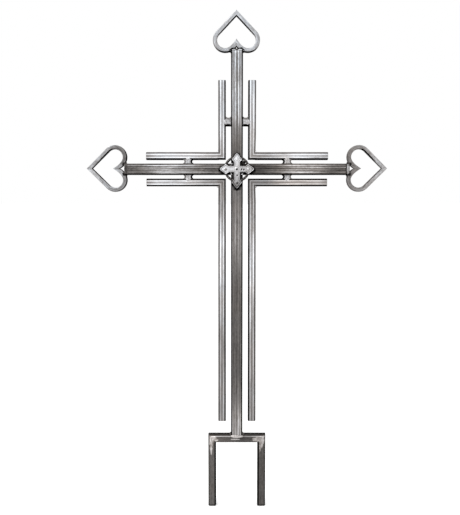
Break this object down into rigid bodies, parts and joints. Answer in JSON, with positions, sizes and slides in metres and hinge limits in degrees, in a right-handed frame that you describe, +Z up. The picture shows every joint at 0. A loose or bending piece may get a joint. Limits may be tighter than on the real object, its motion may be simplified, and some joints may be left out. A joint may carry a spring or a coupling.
{
  "type": "metal grave cross",
  "caption": "Grave cross of patinated square steel tube with heart ends, double side bars, a cast rosette and a fork foot to set in the ground.",
  "frame": {"origin": "middle of the foot crossbar's underside, which rests on the plinth or ground when the two legs are set in it", "axes": "+Z up along the post, +X to the right along the arms as seen from the front, the rosette faces -Y"},
  "size_m": [0.6352, 0.0307, 1.0656],
  "materials": {
    "tube_steel": "dark patinated square tube, hand brushed along its length, paler at the ends and edges",
    "side_bar_steel": "brushed steel bar with bright streaks, black patina left on the inner sides",
    "heart_steel": "pale brushed steel bar, dark where the lobes meet the tubes",
    "rosette_casting": "silver cast rosette with dark patina in its openings",
    "foot_steel": "dark steel bar with pale ground patches at the welded corners"
  },
  "bodies": {
    "root": {"post": "tube_steel", "arm_left": "tube_steel", "arm_right": "tube_steel", "upper_upright_left": "side_bar_steel", "upper_level_bar_left": "side_bar_steel", "upper_upright_right": "side_bar_steel", "upper_level_bar_right": "side_bar_steel", "lower_upright_left": "side_bar_steel", "lower_level_bar_left": "side_bar_steel", "lower_upright_right": "side_bar_steel", "lower_level_bar_right": "side_bar_steel", "post_spacer_left": "side_bar_steel", "upper_arm_spacer_left": "side_bar_steel", "lower_arm_spacer_left": "side_bar_steel", "post_spacer_right": "side_bar_steel", "upper_arm_spacer_right": "side_bar_steel", "lower_arm_spacer_right": "side_bar_steel", "heart_top": "heart_steel", "heart_left": "heart_steel", "heart_right": "heart_steel", "rosette": "rosette_casting", "foot_crossbar": "foot_steel", "foot_leg_left": "foot_steel", "foot_leg_right": "foot_steel"}
  },
  "joints": []
}
